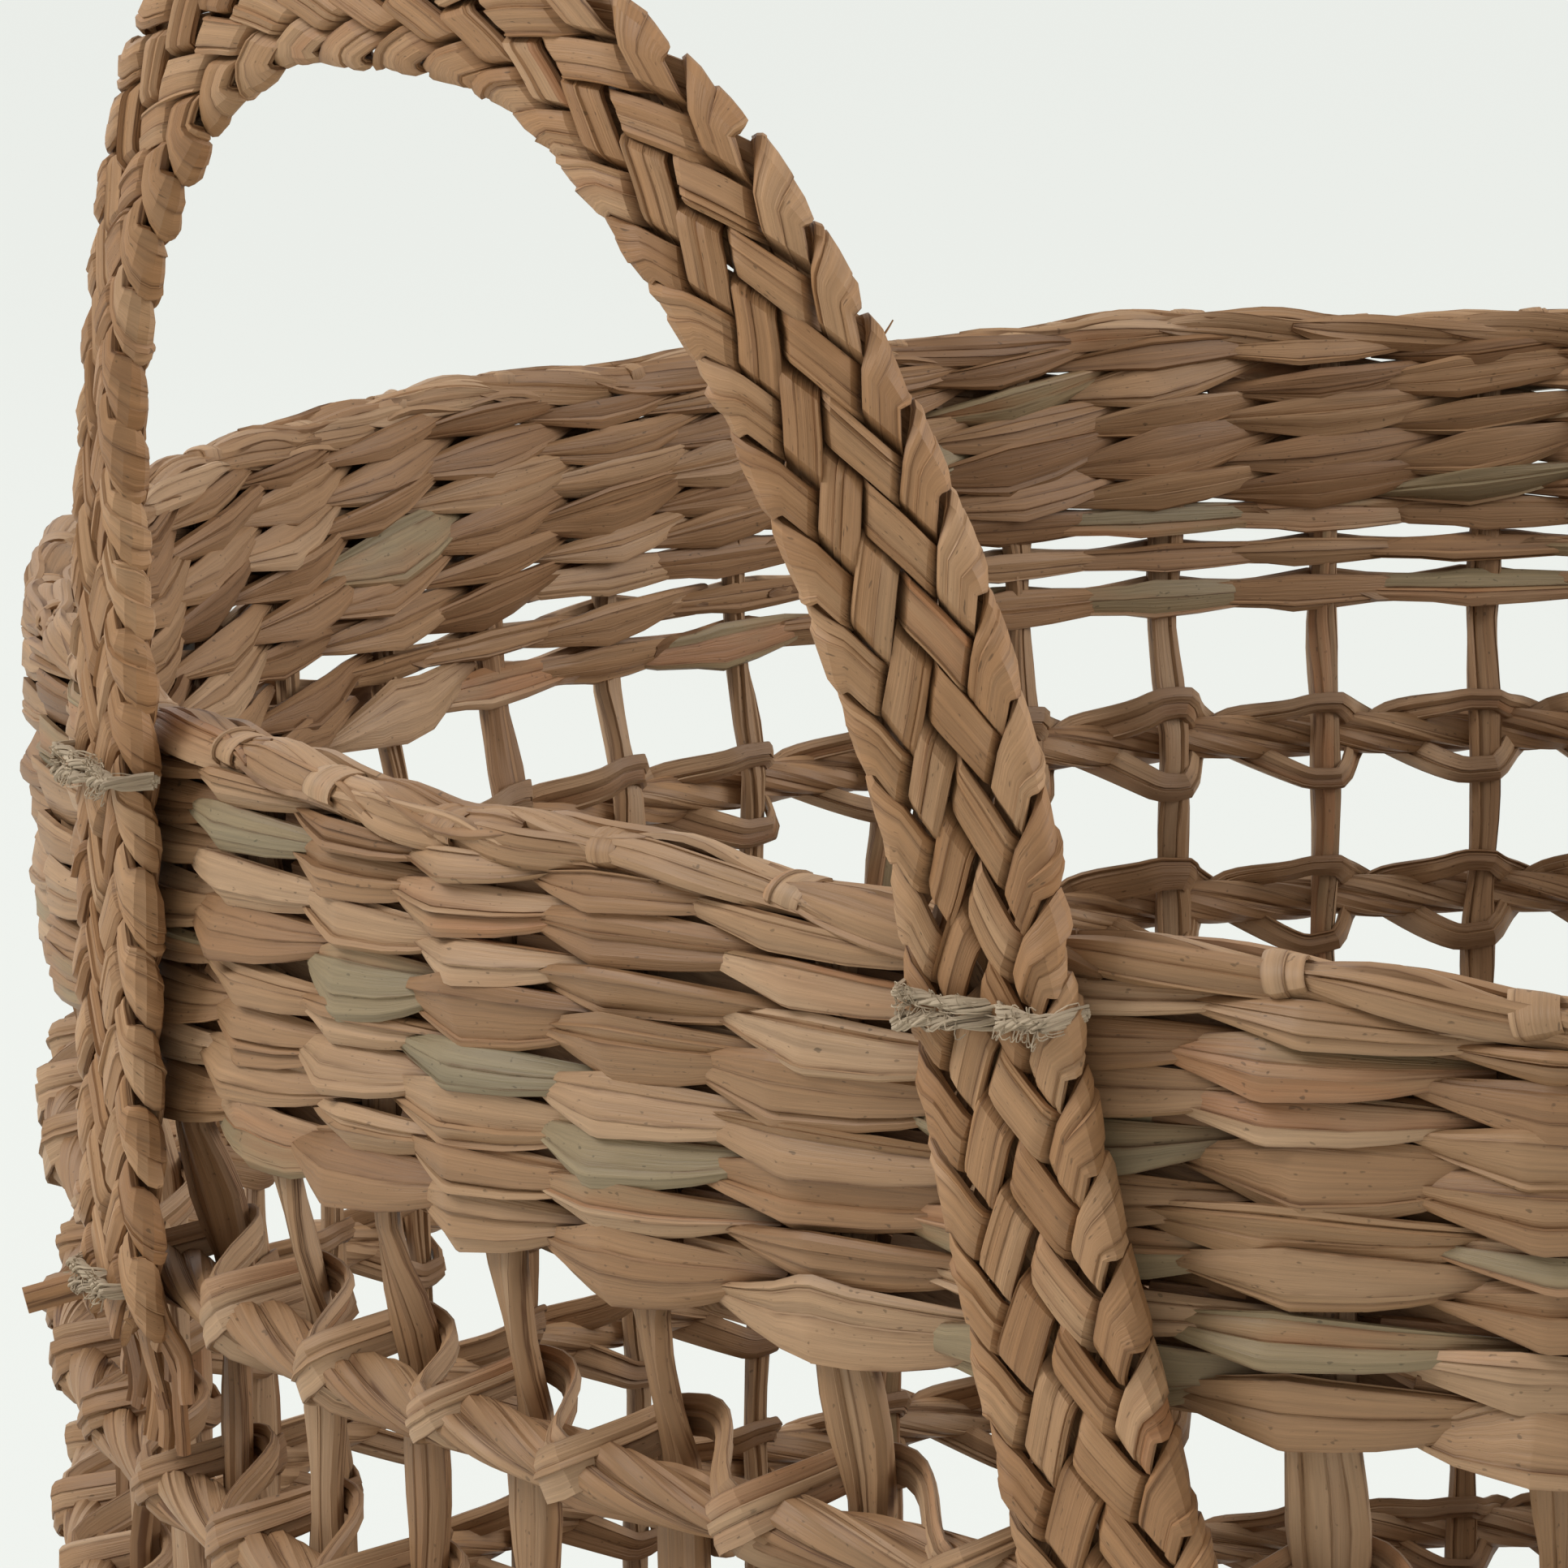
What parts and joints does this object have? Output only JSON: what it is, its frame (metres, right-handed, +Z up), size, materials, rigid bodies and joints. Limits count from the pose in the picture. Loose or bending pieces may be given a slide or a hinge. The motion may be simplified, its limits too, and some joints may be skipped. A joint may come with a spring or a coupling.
{
  "type": "seagrass laundry basket",
  "caption": "Round open-topped laundry basket of twined and openwork seagrass leaf with rolled rim and two braided side loop handles.",
  "frame": {"origin": "centre of the flat underside, where the basket stands", "axes": "+Z up to the rim; the two handles face +X and -X"},
  "size_m": [0.5394, 0.5043, 0.5148],
  "materials": {
    "base_leaf": "matt dried leaf, woven flat",
    "lower_leaf": "matt dried leaf, twined in rows",
    "band_leaf": "matt dried leaf, twined in rows",
    "rim_leaf": "rolled dried leaf",
    "stake_leaf": "upright strips of dried leaf",
    "rope_leaf": "twisted dried leaf",
    "braid_leaf": "flat braid of dried leaf",
    "twine": "fuzzy pale natural twine"
  },
  "bodies": {
    "root": {"base_mat": "base_leaf", "lower_weave": "lower_leaf", "upper_weave": "band_leaf", "rim_roll": "rim_leaf", "handle_a": "braid_leaf", "handle_b": "braid_leaf", "stake_pair_01": "stake_leaf", "stake_pair_02": "stake_leaf", "stake_pair_03": "stake_leaf", "stake_pair_04": "stake_leaf", "stake_pair_05": "stake_leaf", "stake_pair_06": "stake_leaf", "stake_pair_07": "stake_leaf", "stake_pair_08": "stake_leaf", "stake_pair_09": "stake_leaf", "stake_pair_10": "stake_leaf", "stake_pair_11": "stake_leaf", "stake_pair_12": "stake_leaf", "stake_pair_13": "stake_leaf", "stake_pair_14": "stake_leaf", "stake_pair_15": "stake_leaf", "stake_pair_16": "stake_leaf", "stake_pair_17": "stake_leaf", "stake_pair_18": "stake_leaf", "stake_pair_19": "stake_leaf", "stake_pair_20": "stake_leaf", "stake_pair_21": "stake_leaf", "stake_pair_22": "stake_leaf", "stake_pair_23": "stake_leaf", "stake_pair_24": "stake_leaf", "stake_pair_25": "stake_leaf", "stake_pair_26": "stake_leaf", "stake_pair_27": "stake_leaf", "stake_pair_28": "stake_leaf", "stake_pair_29": "stake_leaf", "stake_pair_30": "stake_leaf", "ring_rope_1": "rope_leaf", "ring_rope_2": "rope_leaf", "ring_rope_3": "rope_leaf", "ring_rope_4": "rope_leaf", "ring_rope_5": "rope_leaf", "ring_rope_6": "rope_leaf", "handle_a_tie_upper_right": "twine", "handle_a_tie_upper_left": "twine", "handle_a_tie_lower_right": "twine", "handle_a_tie_lower_left": "twine", "handle_b_tie_upper_right": "twine", "handle_b_tie_upper_left": "twine", "handle_b_tie_lower_right": "twine", "handle_b_tie_lower_left": "twine"}
  },
  "joints": []
}
